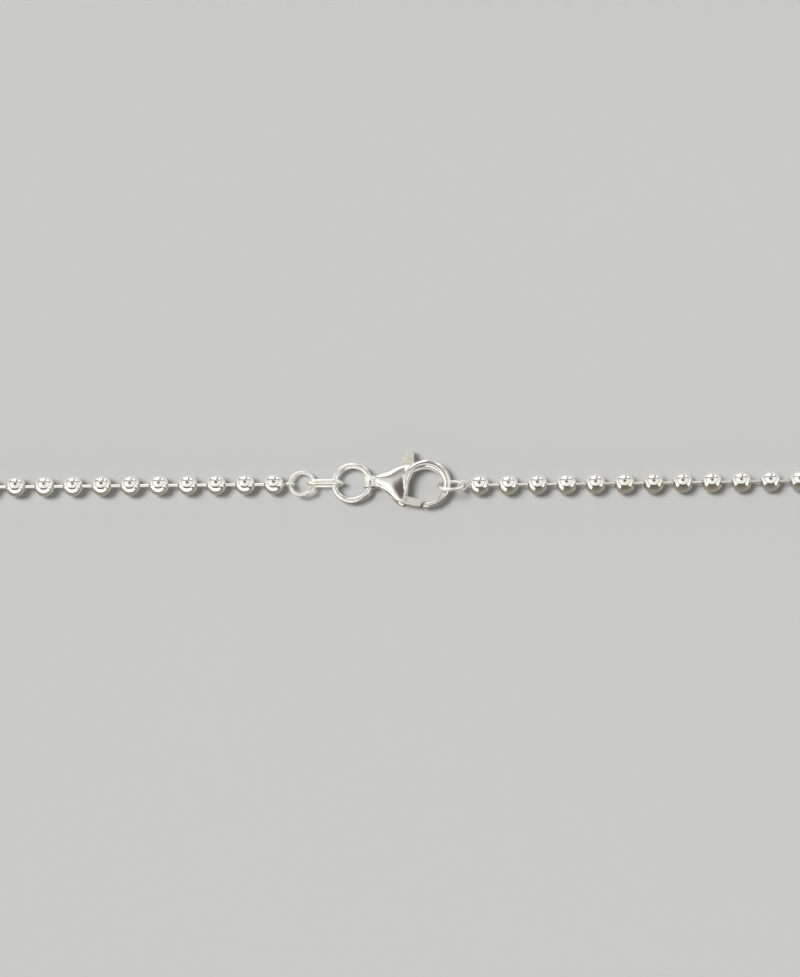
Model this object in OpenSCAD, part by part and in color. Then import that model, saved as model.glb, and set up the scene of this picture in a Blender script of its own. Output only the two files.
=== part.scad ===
// Silver ball chain necklace, closed with a lobster clasp and lying flat.
// The chain is a closed loop in the XY plane. Its straight front run carries the
// clasp, and +Z is up from the surface that the beads rest on.

/* [Chain] */
// Outer diameter of a bead
bead_d = 3; // [2.8:0.1:3.2]
// Wall thickness of a hollow bead
bead_wall = 0.3; // [0.2:0.05:0.4]
// Diameter of the two holes in a bead
bead_hole_d = 0.84; // [0.8:0.02:0.9]
// Distance from one bead to the next along the chain
pitch = 4.2; // [4.1:0.05:4.4]
// Number of beads
bead_count = 113; // [105:1:117]
// Diameter of the wire of the short bars between beads
bar_d = 0.46; // [0.4:0.02:0.5]
// Diameter of the ball at each end of a bar, inside the bead
bar_head_d = 1; // [0.94:0.02:1.04]

/* [Loop] */
// Length of the straight run at the front, and of the one at the back
straight_run = 124; // [118:1:140]
// Distance between the two end beads, across the clasp
clasp_gap = 29.9; // [29.9:0.1:31]
// Where the middle of that gap lies along the front run
gap_middle = -3.4; // [-4:0.1:-3]
// How far the front run drifts back towards the clasp on the left
left_drift = 0.08; // [0:0.02:0.2]
// How far the front run drifts forward towards the clasp on the right
right_drift = 0.32; // [0.2:0.02:0.36]

/* [End eyes] */
// Diameter of an end eye, to the middle of its wire
eye_d = 1.2; // [1.16:0.02:1.3]
// Diameter of the wire of an end eye
eye_wire = 0.36; // [0.3:0.02:0.38]
// Free play between an end bead and its eye
eye_play = 0.06; // [0.05:0.01:0.1]

/* [Rings and link] */
// Diameter of a small ring, to the middle of its wire
small_ring_d = 3.6; // [3.5:0.05:3.7]
// Diameter of the wire of a small ring
small_wire = 0.48; // [0.44:0.02:0.5]
// Outer length of the oval link
link_length = 5.34; // [5.2:0.02:5.6]
// Outer height of the oval link, which stands on edge
link_height = 2.7; // [2.66:0.02:2.9]
// Diameter of the wire of the oval link
link_wire = 0.82; // [0.76:0.02:0.84]
// Diameter of the big ring, to the middle of its wire
big_ring_d = 5.2; // [5.1:0.05:5.3]
// Diameter of the wire of the big ring
big_wire = 0.85; // [0.8:0.01:0.86]

/* [Clasp] */
// Outer radius of the round claw
claw_r = 3.6; // [3.55:0.01:3.62]
// Radius of the opening inside the claw
opening_r = 2.5; // [2.4:0.05:2.55]
// Height of the clasp's middle plane above the surface
clasp_z = 1.5; // [1.48:0.01:1.55]
// Height of the slot that the lever swings in
slot_h = 0.96; // [0.92:0.02:1]
// Diameter of the hole in the rear eye
rear_hole_d = 1.44; // [1.44:0.02:1.48]
// Outer diameter of the rear eye
rear_eye_d = 2.04; // [2.02:0.02:2.06]
// Width of the rear eye
rear_eye_w = 1.7; // [1.5:0.1:1.7]

/* [Lever] */
// Thickness of the lever
lever_t = 0.8; // [0.7:0.02:0.84]
// Diameter of the pivot pin
pin_d = 0.7; // [0.6:0.02:0.76]
// Radial clearance of the lever on its pin
pin_play = 0.05; // [0.03:0.01:0.08]

/* [Hidden] */
silver = [0.87, 0.87, 0.84];
matt_silver = [0.78, 0.79, 0.75];
round_fn = 48;
bead_fn = 24;
wire_fn = 32;
join = 0.02;

// The loop is a stadium whose length follows from the beads and the clasp gap.
loop_length = (bead_count - 1) * pitch + clasp_gap;
bend_r = (loop_length - 2 * straight_run) / (2 * PI);
half_run = straight_run / 2;
bead_r = bead_d / 2;
// The front run lies so that the whole part is centred on the origin.
front_y = -bend_r + (claw_r - bead_r) / 2;
first_x = gap_middle + clasp_gap / 2;
last_x = gap_middle - clasp_gap / 2;

// Sideways drift of the front run, largest beside the clasp.
function drift(x) =
    let (fade = abs(x) < half_run ? cos(90 * x / half_run) : 0)
    x < 0 ? left_drift * fade : -right_drift * fade;

// Point of the loop at a distance u from the middle of its front, counter-clockwise.
function front_point(x) = [x, front_y + drift(x)];
function bend_point(u) =
    let (a = -90 + u / bend_r * 180 / PI)
    [half_run + bend_r * cos(a), front_y + bend_r + bend_r * sin(a)];
function right_half(u) =
    u < half_run ? front_point(u)
    : u < half_run + PI * bend_r ? bend_point(u - half_run)
    : [half_run - (u - half_run - PI * bend_r), front_y + 2 * bend_r];
function left_half(u) =
    let (v = loop_length - u, p = right_half(v))
    v < half_run ? front_point(-v) : [-p[0], p[1]];
function loop_point(u) = u <= loop_length / 2 ? right_half(u) : left_half(u);
function bead_point(i) = loop_point(first_x + i * pitch);
function heading(p, q) = atan2(q[1] - p[1], q[0] - p[0]);
function bead_heading(i) = heading(bead_point(max(0, i - 1)), bead_point(min(bead_count - 1, i + 1)));

// Bars sit with their heads just inside the wall of each bead.
head_r = bar_head_d / 2;
head_offset = bead_r - bead_wall - head_r - 0.12;

// Places of the pieces that link the chain to the clasp.
eye_reach = bead_r + eye_play + (eye_d + eye_wire) / 2;
left_eye = [last_x + eye_reach, front_y + drift(last_x), bead_r];
right_eye = [first_x - eye_reach, front_y + drift(first_x), bead_r];
left_eye_tilt = 58;
right_eye_tilt = 20;
left_ring = [left_eye[0] + small_ring_d / 2, front_y + 0.17, 1.4];
left_ring_roll = -12;
left_ring_dip = 4;
ring_seat = 0.08;
link_x = left_ring[0] + small_ring_d / 2 - small_wire / 2 - ring_seat - link_wire + link_length / 2;
link_y = front_y + 0.2;
link_lift = 0.02;
big_ring = [
    link_x + link_length / 2 - link_wire - big_wire / 2 - ring_seat + big_ring_d / 2,
    front_y + 0.2,
    1.4
];
big_ring_dip = -1;
rear_eye = [big_ring[0] + big_ring_d / 2 + 0.06, front_y + 0.28, 1.45];
hook_ring_roll = 122;
hook_ring = [7.4, front_y - 0.4, small_ring_d / 2 * sin(hook_ring_roll) + small_wire / 2 + 0.04];

// Plan of the clasp, from the middle of its claw.
claw = [3.87, front_y];
opening = [-0.08, -0.3];
tip_angle = -102;
root_angle = 222;
hook_steps = 40;
hook_points = 14;
neck_points = 20;
// The hook runs on round the opening as a raised rim, up to the end of the cheeks.
// Columns: angle round the claw, half thickness.
HOOK_HALF_T = [[-102, 0.5], [-60, 0.55], [0, 0.63], [50, 0.8], [90, 0.98], [142, 1.24], [222, 1.27]];
// Columns: angle round the claw, outer radius.
HOOK_OUTER = [[-102, claw_r], [110, claw_r], [142, claw_r - 0.1], [222, claw_r - 0.2]];
rim_bite = 0.4;
// Columns: place along the clasp, front edge, back edge, half thickness.
NECK_X = 0;
NECK_FRONT = 1;
NECK_BACK = 2;
NECK_HALF_T = 3;
NECK = [
    [-7.38, -0.4, 1.12, 0.62],
    [-7.0, -0.62, 1.4, 0.84],
    [-6.5, -0.9, 1.6, 0.96],
    [-5.8, -1.35, 1.88, 1.06],
    [-4.9, -2.0, 2.4, 1.15],
    [-4.2, -2.6, 2.86, 1.17],
    [-3.4, -3.06, 3.2, 1.18],
    [-2.5, -3.18, 3.42, 1.16],
    [-1.5, -3.2, 3.53, 1.05],
    [-0.2, -3.2, 3.46, 0.85]
];
pivot = [-3.52, -0.2];
pin_bore_play = 0.01;
pin_depth = 0.5;
// The cheeks end on this outline, which leaves the gate free.
CHEEK_CUT = [
    [-2.45, -0.75], [-2.67, -1.3], [-3.03, -2.05], [-3.35, -3.1], [-3.45, -4.4],
    [-1.1, -4.4], [-0.62, -3.6], [0.23, -2.68], [0.3, -1]
];
// The slot runs open along the front edge, through the claw's inner wall and out at the shoulder.
SLOT = [
    [-6.9, -0.3], [-5.55, 0.4], [-5.3, 1.5], [-5.45, 4.4], [-1.57, 4.4], [-1.57, 1.3],
    [0, 0.6], [-1.1, -4.4], [-6.9, -4.4]
];
// Thumb tab of the lever.
TAB = [[-4.05, 0.4], [-3.7, 3.0], [-3.11, 4.42], [-1.9, 4.5], [-1.77, 3.3], [-2.05, 2.1], [-2.7, 0.4]];
tab_tip = [-2.51, 4.5];
tab_tip_r = 0.61;
// Gate of the lever, a bar with a slanted flat end.
GATE = [
    [-3.85, -0.9], [-3.45, -2.3], [-3.2, -2.98], [-1.7, -3.34], [-0.88, -3.4],
    [-0.47, -2.62], [-1.7, -2.15], [-2.55, -1.9], [-2.9, -0.9]
];
hub_r = 0.85;

// Rounded cosine or sine, which squares up an ellipse.
section_power = 0.72;
function squared(t) = sign(t) * pow(abs(t), section_power);

// Ring of points in a plane: across from a to b, and up and down by half_t.
function section(a, b, half_t, count) = [
    for (i = [0:count - 1])
    let (t = 360 * i / count)
    [(a + b) / 2 + (b - a) / 2 * squared(cos(t)), half_t * squared(sin(t))]
];

function claw_inner(angle) =
    let (along = opening[0] * cos(angle) + opening[1] * sin(angle))
    along + sqrt(along * along + opening_r * opening_r - opening * opening);

function hook_section(angle) = [
    for (p = section(lookup(angle, HOOK_OUTER), claw_inner(angle), lookup(angle, HOOK_HALF_T), hook_points))
    [p[0] * cos(angle), p[0] * sin(angle), p[1]]
];

function neck_section(row) = [
    for (p = section(row[NECK_FRONT], row[NECK_BACK], row[NECK_HALF_T], neck_points))
    [row[NECK_X], p[0], p[1]]
];

// Closed solid through a list of rings with equal numbers of points.
module loft(rings) {
    n = len(rings[0]);
    last = (len(rings) - 1) * n;
    points = [for (r = rings) each r];
    sides = [
        for (k = [0:len(rings) - 2], i = [0:n - 1])
        let (j = (i + 1) % n)
        each [
            [k * n + i, (k + 1) * n + j, k * n + j],
            [k * n + i, (k + 1) * n + i, (k + 1) * n + j]
        ]
    ];
    caps = [
        for (i = [1:n - 2])
        each [[0, i, i + 1], [last, last + i + 1, last + i]]
    ];
    polyhedron(points = points, faces = concat(sides, caps));
}

// Torus in the XY plane.
module ring(d, wire) {
    rotate_extrude($fn = round_fn)
        translate([d / 2, 0])
            circle(d = wire, $fn = wire_fn);
}

// Hollow bead with its two holes along X.
module bead() {
    hole_r = bead_hole_d / 2;
    rotate([0, 90, 0])
        rotate_extrude($fn = bead_fn)
            difference() {
                circle(r = bead_r, $fn = bead_fn);
                circle(r = bead_r - bead_wall, $fn = bead_fn);
                translate([hole_r - bead_d, -bead_d])
                    square([bead_d, 2 * bead_d]);
            }
}

// Turned pin with a ball head at each place in the list, along X. Both ends of the
// shank are given too.
module headed_pin(heads, from, to, d) {
    rotate([0, 90, 0])
        rotate_extrude($fn = bead_fn)
            intersection() {
                union() {
                    translate([-d / 2, from])
                        square([d, to - from]);
                    for (z = heads)
                        translate([0, z])
                            circle(r = head_r, $fn = bead_fn);
                }
                translate([0, from - bar_head_d])
                    square([bar_head_d, to - from + 2 * bar_head_d]);
            }
}

// Bar of a given length between bead centres, along X from the origin.
module bar(span) {
    heads = [head_offset, span - head_offset];
    headed_pin(heads, heads[0], heads[1], bar_d);
}

// Eye with a shank along X, whose head is held in an end bead at the given side.
module end_eye(tilt, side) {
    head_x = eye_reach - head_offset;
    union() {
        rotate([tilt, 0, 0])
            ring(eye_d, eye_wire);
        rotate([0, 0, side > 0 ? 0 : 180])
            headed_pin([head_x], eye_d / 2, head_x, eye_wire + 2 * join);
    }
}

module beads() {
    color(silver)
        for (i = [0:bead_count - 1])
            translate([bead_point(i)[0], bead_point(i)[1], bead_r])
                rotate([0, 0, bead_heading(i)])
                    bead();
}

module bars() {
    color(silver)
        for (i = [0:bead_count - 2])
            translate([bead_point(i)[0], bead_point(i)[1], bead_r])
                rotate([0, 0, heading(bead_point(i), bead_point(i + 1))])
                    bar(norm(bead_point(i + 1) - bead_point(i)));
}

module left_end_eye() {
    color(silver)
        translate(left_eye)
            end_eye(left_eye_tilt, -1);
}

module right_end_eye() {
    color(silver)
        translate(right_eye)
            end_eye(right_eye_tilt, 1);
}

module left_ring() {
    color(silver)
        translate(left_ring)
            rotate([left_ring_roll, left_ring_dip, 0])
                ring(small_ring_d, small_wire);
}

module big_ring() {
    color(silver)
        translate(big_ring)
            rotate([0, big_ring_dip, 0])
                ring(big_ring_d, big_wire);
}

module hook_ring() {
    color(silver)
        translate(hook_ring)
            rotate([hook_ring_roll, 0, 0])
                ring(small_ring_d, small_wire);
}

// Oval link standing on edge in the XZ plane: two half rings and two straights.
module oval_link() {
    end_r = (link_height - link_wire) / 2;
    reach = link_length / 2 - link_height / 2;
    color(silver)
        translate([link_x, link_y, link_height / 2 + link_lift])
            rotate([90, 0, 0])
                union() {
                    for (side = [-1, 1]) {
                        translate([side * reach, 0, 0])
                            rotate([0, 0, side * -90])
                                rotate_extrude(angle = 180, $fn = round_fn)
                                    translate([end_r, 0])
                                        circle(d = link_wire, $fn = wire_fn);
                        translate([-reach, side * end_r, 0])
                            rotate([0, 90, 0])
                                cylinder(d = link_wire, h = 2 * reach, $fn = wire_fn);
                    }
                }
}

module hook() {
    step = (root_angle - tip_angle) / hook_steps;
    loft([for (k = [0:hook_steps]) hook_section(tip_angle + k * step)]);
}

module neck() {
    loft([for (row = NECK) neck_section(row)]);
}

// Rear eye of the clasp, with its hole along Y and rounded lips.
module rear_eye_ring() {
    wall = (rear_eye_d - rear_hole_d) / 2;
    lip = (rear_eye_w - wall) / 2;
    rotate([90, 0, 0])
        rotate_extrude($fn = round_fn)
            translate([rear_hole_d / 2 + wall / 2, 0])
                union() {
                    square([wall, 2 * lip], center = true);
                    for (side = [-1, 1])
                        translate([0, side * lip])
                            circle(d = wall, $fn = wire_fn);
                }
}

module clasp_body() {
    bore_d = pin_d + 2 * pin_bore_play;
    color(silver)
        union() {
            translate(rear_eye)
                rear_eye_ring();
            translate([claw[0], claw[1], clasp_z])
                difference() {
                    union() {
                        difference() {
                            neck();
                            translate([opening[0], opening[1], -claw_r])
                                cylinder(r = opening_r + rim_bite, h = 2 * claw_r, $fn = round_fn);
                        }
                        hook();
                    }
                    translate([0, 0, -slot_h / 2])
                        linear_extrude(slot_h)
                            polygon(SLOT);
                    translate([0, 0, -claw_r])
                        linear_extrude(2 * claw_r)
                            polygon(CHEEK_CUT);
                    translate([pivot[0], pivot[1], 0])
                        cylinder(d = bore_d, h = slot_h + 2 * pin_depth, center = true, $fn = round_fn);
                }
        }
}

// Lever: hub, thumb tab and gate in one plate, with a running bore for the pin.
module clasp_lever() {
    color(matt_silver)
        translate([claw[0], claw[1], clasp_z - lever_t / 2])
            difference() {
                union() {
                    translate(pivot)
                        cylinder(r = hub_r, h = lever_t, $fn = round_fn);
                    linear_extrude(lever_t)
                        polygon(TAB);
                    translate(tab_tip)
                        cylinder(r = tab_tip_r, h = lever_t, $fn = round_fn);
                    linear_extrude(lever_t)
                        polygon(GATE);
                }
                translate([pivot[0], pivot[1], -lever_t])
                    cylinder(d = pin_d + 2 * pin_play, h = 3 * lever_t, $fn = round_fn);
            }
}

// Pin that the lever turns on. Its ends are polished away flush and can't be seen.
module pivot_pin() {
    pin_h = slot_h + 2 * pin_depth - 2 * pin_bore_play;
    color(silver)
        translate([claw[0] + pivot[0], claw[1] + pivot[1], clasp_z])
            cylinder(d = pin_d, h = pin_h, center = true, $fn = round_fn);
}

beads();
bars();
left_end_eye();
right_end_eye();
left_ring();
oval_link();
big_ring();
hook_ring();
clasp_body();
clasp_lever();
pivot_pin();
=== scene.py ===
"""Silver ball chain necklace with a lobster clasp, lying as a closed loop on a pale floor.

The chain is made along its own loop, and the clasp is cast from lofted sections. Everything is
modelled in millimetres and brought to metres when a piece is finished.
"""

import math

import bmesh
import bpy
import numpy as np
from mathutils import Matrix, Vector


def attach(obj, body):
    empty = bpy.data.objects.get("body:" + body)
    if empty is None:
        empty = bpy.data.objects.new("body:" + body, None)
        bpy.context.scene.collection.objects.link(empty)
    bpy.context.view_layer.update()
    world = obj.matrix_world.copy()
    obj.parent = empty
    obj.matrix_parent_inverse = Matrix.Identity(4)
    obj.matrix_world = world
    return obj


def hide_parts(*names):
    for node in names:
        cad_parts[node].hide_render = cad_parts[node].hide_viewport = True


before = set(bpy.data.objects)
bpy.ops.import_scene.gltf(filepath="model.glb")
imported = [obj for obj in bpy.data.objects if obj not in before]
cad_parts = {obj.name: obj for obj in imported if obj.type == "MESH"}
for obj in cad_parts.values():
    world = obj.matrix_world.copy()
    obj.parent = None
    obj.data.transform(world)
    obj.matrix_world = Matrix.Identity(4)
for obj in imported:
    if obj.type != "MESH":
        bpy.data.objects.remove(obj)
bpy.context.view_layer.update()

METRES = 0.001

# Chain
BEAD_D = 3.0
BEAD_WALL = 0.3
BEAD_HOLE_D = 0.84
BEAD_LENGTH = 2.84
BEAD_COUNT = 113
PITCH = 4.2
BAR_D = 0.46
BAR_HEAD_D = 1.0
BAR_HEAD_PLAY = 0.12
STRAIGHT_RUN = 124.0
CLASP_GAP = 29.9
GAP_MIDDLE = -3.4
LEFT_DRIFT = 0.08
RIGHT_DRIFT = 0.32

# End eyes, rings and link
EYE_D = 1.2
EYE_WIRE = 0.36
EYE_PLAY = 0.06
EYE_WIRE_SWELL = 1.2
SMALL_RING_D = 3.6
SMALL_WIRE = 0.48
SMALL_WIRE_SWELL = 1.1
LINK_LENGTH = 5.34
LINK_HEIGHT = 2.7
LINK_WIRE = 0.82
BIG_RING_D = 5.2
BIG_WIRE = 0.85
RING_SEAT = 0.08
REAR_EYE_SEAT = 0.06
HOOK_RING_ROLL = 122
HOOK_RING_X = 7.4

# How far each link lies behind the chain's line, and how high its middle or its underside is
LEFT_RING_BACK = 0.17
LINK_BACK = 0.2
REAR_EYE_BACK = 0.28
HOOK_RING_BACK = -0.4
RING_Z = 1.4
REAR_EYE_Z = 1.45
LINK_LIFT = 0.02
HOOK_RING_LIFT = 0.04

# Clasp
CLAW_X = 3.87
CLAW_R = 3.6
OPENING_R = 2.5
CLASP_Z = 1.5
SLOT_H = 0.96
REAR_HOLE_D = 1.44
REAR_EYE_D = 2.04
REAR_EYE_W = 1.7
LEVER_T = 0.8
PIN_D = 0.7
PIN_PLAY = 0.05

LOOP_LENGTH = (BEAD_COUNT - 1) * PITCH + CLASP_GAP
BEND_R = (LOOP_LENGTH - 2 * STRAIGHT_RUN) / (2 * math.pi)
HALF_RUN = STRAIGHT_RUN / 2
BEAD_R = BEAD_D / 2
HEAD_R = BAR_HEAD_D / 2
HEAD_OFFSET = BEAD_R - BEAD_WALL - HEAD_R - BAR_HEAD_PLAY
FRONT_Y = -BEND_R + (CLAW_R - BEAD_R) / 2
FIRST_X = GAP_MIDDLE + CLASP_GAP / 2
LAST_X = GAP_MIDDLE - CLASP_GAP / 2


def drift(x):
    """Sideways drift of the front run, largest beside the clasp."""
    fade = math.cos(math.pi / 2 * x / HALF_RUN) if abs(x) < HALF_RUN else 0
    return LEFT_DRIFT * fade if x < 0 else -RIGHT_DRIFT * fade


def loop_point(u):
    """Point of the loop at a distance u from the middle of its front, counter-clockwise."""
    if u > LOOP_LENGTH / 2:
        v = LOOP_LENGTH - u
        x, y = loop_point(v)
        return (-v, FRONT_Y + drift(-v)) if v < HALF_RUN else (-x, y)
    if u < HALF_RUN:
        return u, FRONT_Y + drift(u)
    if u < HALF_RUN + math.pi * BEND_R:
        a = (u - HALF_RUN) / BEND_R - math.pi / 2
        return HALF_RUN + BEND_R * math.cos(a), FRONT_Y + BEND_R + BEND_R * math.sin(a)
    return 2 * HALF_RUN + math.pi * BEND_R - u, FRONT_Y + 2 * BEND_R


BEAD_PLACES = np.array([loop_point(FIRST_X + i * PITCH) for i in range(BEAD_COUNT)])
EYE_REACH = BEAD_R + EYE_PLAY + (EYE_D + EYE_WIRE) / 2
LEFT_EYE = Vector((LAST_X + EYE_REACH, FRONT_Y + drift(LAST_X), BEAD_R))
RIGHT_EYE = Vector((FIRST_X - EYE_REACH, FRONT_Y + drift(FIRST_X), BEAD_R))
LEFT_RING = Vector((LEFT_EYE.x + SMALL_RING_D / 2, FRONT_Y + LEFT_RING_BACK, RING_Z))
LINK_X = LEFT_RING.x + (SMALL_RING_D - SMALL_WIRE) / 2 - RING_SEAT - LINK_WIRE + LINK_LENGTH / 2
LINK = Vector((LINK_X, FRONT_Y + LINK_BACK, LINK_HEIGHT / 2 + LINK_LIFT))
BIG_RING_X = LINK_X + LINK_LENGTH / 2 - LINK_WIRE - BIG_WIRE / 2 - RING_SEAT + BIG_RING_D / 2
BIG_RING = Vector((BIG_RING_X, FRONT_Y + LINK_BACK, RING_Z))
REAR_EYE_X = BIG_RING_X + BIG_RING_D / 2 + REAR_EYE_SEAT
REAR_EYE = Vector((REAR_EYE_X, FRONT_Y + REAR_EYE_BACK, REAR_EYE_Z))
HOOK_RING_RISE = SMALL_RING_D / 2 * math.sin(math.radians(HOOK_RING_ROLL))
HOOK_RING_Z = HOOK_RING_RISE + SMALL_WIRE / 2 + HOOK_RING_LIFT
HOOK_RING = Vector((HOOK_RING_X, FRONT_Y + HOOK_RING_BACK, HOOK_RING_Z))
CLAW = Vector((CLAW_X, FRONT_Y, CLASP_Z))
# Middle of the claw's opening and of the lever's pin, from the middle of the claw
OPENING = np.array([-0.08, -0.3])
PIVOT = np.array([-3.52, -0.2])


# Nodes

def put(tree, kind, links=None, **settings):
    """Adds a node, sets its properties and feeds its inputs by name or number."""
    node = tree.nodes.new(kind)
    for key, value in settings.items():
        setattr(node, key, value)
    for key, value in (links or {}).items():
        if isinstance(value, bpy.types.NodeSocket):
            tree.links.new(value, node.inputs[key])
        else:
            node.inputs[key].default_value = value
    return node


def new_tree(name, kind, inputs, outputs):
    """Node group with named inputs (name, socket kind, default) and outputs (name, socket kind)."""
    tree = bpy.data.node_groups.new(name, kind)
    for label, socket, value in inputs:
        made = tree.interface.new_socket(label, in_out="INPUT", socket_type=socket)
        if value is not None:
            made.default_value = value
    for label, socket in outputs:
        tree.interface.new_socket(label, in_out="OUTPUT", socket_type=socket)
    return tree, tree.nodes.new("NodeGroupInput").outputs, tree.nodes.new("NodeGroupOutput")


def math_node(tree, operation, a, b=0.0, clamp=False):
    return put(tree, "ShaderNodeMath", {0: a, 1: b}, operation=operation, use_clamp=clamp).outputs[0]


def mixed(tree, factor, under, over):
    """Colour between two."""
    return put(tree, "ShaderNodeMix", {"Factor": factor, 6: under, 7: over}, data_type="RGBA").outputs[2]


def ranged(tree, value, low, high, first=0.0, last=1.0, **settings):
    """Value that runs from first to last as another runs from low to high."""
    links = {0: value, 1: low, 2: high, 3: first, 4: last}
    return put(tree, "ShaderNodeMapRange", links, **settings).outputs[0]


def noise(tree, place, scale, detail):
    return put(tree, "ShaderNodeTexNoise", {"Vector": place, "Scale": scale, "Detail": detail}).outputs[0]


def mask(tree, label):
    """Value that a piece's mesh holds under a name."""
    return put(tree, "ShaderNodeAttribute", attribute_name=label).outputs["Fac"]


def object_place(tree):
    return put(tree, "ShaderNodeTexCoord").outputs["Object"]


def new_material(name):
    material = bpy.data.materials.new(name)
    material.use_nodes = True
    return material, material.node_tree, material.node_tree.nodes["Principled BSDF"]


# Meshes

WEAR_ROUNDS = 14
DISC_SIDES = 64


def make_mesh(name, points, faces, edges=()):
    mesh = bpy.data.meshes.new(name)
    mesh.from_pydata([tuple(map(float, p)) for p in points], list(edges), faces)
    mesh.update()
    if faces:
        mesh.shade_smooth()
    return mesh


def linked(mesh):
    """Object of a mesh, in the scene."""
    obj = bpy.data.objects.new(mesh.name, mesh)
    bpy.context.scene.collection.objects.link(obj)
    return obj


def plain_mesh(obj):
    """Mesh of an object with its modifiers applied. The object goes."""
    graph = bpy.context.evaluated_depsgraph_get()
    mesh = bpy.data.meshes.new_from_object(obj.evaluated_get(graph), depsgraph=graph)
    obj.modifiers.clear()
    bpy.data.objects.remove(obj)
    return mesh


def outward(mesh):
    """Merges doubles and turns the faces outwards."""
    work = bmesh.new()
    work.from_mesh(mesh)
    bmesh.ops.remove_doubles(work, verts=work.verts, dist=1e-5)
    bmesh.ops.recalc_face_normals(work, faces=work.faces)
    work.to_mesh(mesh)
    work.free()
    return mesh


def arc(middle, radius, first, last, count):
    """Points (x, radius) of a half section on a circle round a place on the axis."""
    turn = np.linspace(first, last, count)
    return [(middle + radius * math.cos(t), radius * math.sin(t)) for t in turn]


def mirrored(profile):
    return [(-x, r) for x, r in profile[::-1]]


def lathed(name, profile, sides, capped=False):
    """Turned form about X from a half section of (x, radius) points.

    The section closes on itself, or with caps it starts and ends close to the axis.
    """
    count = len(profile)
    angles = np.arange(sides) * 2 * math.pi / sides
    points = [(x, r * math.cos(a), r * math.sin(a)) for a in angles for x, r in profile]
    faces = []
    for i in range(sides):
        here, there = i * count, (i + 1) % sides * count
        for k in range(count - 1 if capped else count):
            n = (k + 1) % count
            faces.append((here + k, here + n, there + n, there + k))
    if capped:
        faces.append(tuple(i * count for i in range(sides)))
        faces.append(tuple(i * count + count - 1 for i in range(sides)))
    return outward(make_mesh(name, points, faces))


def lofted(name, rings):
    """Closed form through a list of rings with equal numbers of points."""
    count = len(rings[0])
    points = np.concatenate(rings)
    faces = []
    for k in range(len(rings) - 1):
        for i in range(count):
            j = (i + 1) % count
            faces.append((k * count + i, k * count + j, (k + 1) * count + j, (k + 1) * count + i))
    faces.append(tuple(range(count))[::-1])
    faces.append(tuple(range(len(points) - count, len(points))))
    return outward(make_mesh(name, points, faces))


def plate(name, outline, low, high):
    """Flat plate from an outline of (x, y) points between two heights."""
    count = len(outline)
    points = [(x, y, z) for z in (low, high) for x, y in outline]
    faces = [tuple(range(count))[::-1], tuple(range(count, 2 * count))]
    faces += [(i, (i + 1) % count, (i + 1) % count + count, i + count) for i in range(count)]
    return outward(make_mesh(name, points, faces))


def disc(centre, radius):
    angles = np.arange(DISC_SIDES) * 2 * math.pi / DISC_SIDES
    return [(centre[0] + radius * math.cos(a), centre[1] + radius * math.sin(a)) for a in angles]


def turned(mesh, x=0, y=0, z=0, place=(0, 0, 0)):
    """Turns a mesh about X, then Y, then Z by degrees, and moves it."""
    for angle, axis in ((x, "X"), (y, "Y"), (z, "Z")):
        mesh.transform(Matrix.Rotation(math.radians(angle), 4, axis))
    mesh.transform(Matrix.Translation(place))
    return mesh


def joined(name, meshes):
    """One mesh of several, each left whole."""
    points, faces = [], []
    for mesh in meshes:
        start = len(points)
        points += [v.co[:] for v in mesh.vertices]
        faces += [tuple(start + i for i in p.vertices) for p in mesh.polygons]
    return make_mesh(name, points, faces)


def melted(obj, voxel, rounds):
    """Plain mesh of an object as one skin, with its creases softened."""
    melt = obj.modifiers.new("melt", "REMESH")
    melt.mode = "VOXEL"
    melt.voxel_size = voxel
    melt.use_smooth_shade = True
    soften = obj.modifiers.new("soften", "SMOOTH")
    soften.factor = 0.5
    soften.iterations = rounds
    return plain_mesh(obj)


def fused(name, meshes, voxel, rounds):
    """Melts closed meshes that cross into one skin."""
    return melted(linked(joined(name, meshes)), voxel, rounds)


def cut(mesh, cutters, voxel, rounds):
    """Cuts closed forms out of a mesh, then rounds the new edges a little."""
    obj = linked(mesh)
    tools = [linked(cutter) for cutter in cutters]
    for tool in tools:
        take = obj.modifiers.new("take", "BOOLEAN")
        take.operation = "DIFFERENCE"
        take.solver = "MANIFOLD"
        take.object = tool
    result = melted(obj, voxel, rounds)
    for tool in tools:
        bpy.data.objects.remove(tool)
    return result


def vertex_values(mesh, label):
    values = np.zeros(len(mesh.vertices) * 3)
    mesh.vertices.foreach_get(label, values)
    return values.reshape(-1, 3)


def store(mesh, label, values):
    """Keeps a value for each point of a mesh under a name."""
    layer = mesh.attributes.new(label, "FLOAT", "POINT")
    layer.data.foreach_set("value", np.asarray(values, np.float32))


def smoother(mesh):
    """Function that takes the mean of each point's neighbours."""
    count = len(mesh.vertices)
    ends = np.zeros(len(mesh.edges) * 2, int)
    mesh.edges.foreach_get("vertices", ends)
    a, b = ends.reshape(-1, 2).T
    degree = np.maximum(np.bincount(np.concatenate([a, b]), minlength=count), 1)

    def mean(place):
        total = np.stack([
            np.bincount(a, place[b, k], count) + np.bincount(b, place[a, k], count) for k in range(3)
        ], 1)
        return total / degree[:, None]

    return mean


def mark_wear(mesh, reach):
    """Stores how hollow and how edged each point is, from its distance to a smoothed copy."""
    place = vertex_values(mesh, "co")
    mean = smoother(mesh)
    soft = place
    for _ in range(WEAR_ROUNDS):
        soft = mean(soft)
    depth = ((soft - place) * vertex_values(mesh, "normal")).sum(1) / reach
    store(mesh, "hollow", np.clip(depth, 0, 1))
    store(mesh, "edge", np.clip(-depth, 0, 1))


def add_piece(name, mesh, material, body, slot, *nodes):
    """Finishes a piece: metres, material, body and the CAD nodes that it stands for. The slot is not used.
    """
    mesh.transform(Matrix.Scale(METRES, 4))
    mesh.name = name
    mesh.materials.clear()
    mesh.materials.append(material)
    obj = linked(mesh)
    obj.name = name
    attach(obj, body)
    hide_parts(*nodes)


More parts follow.
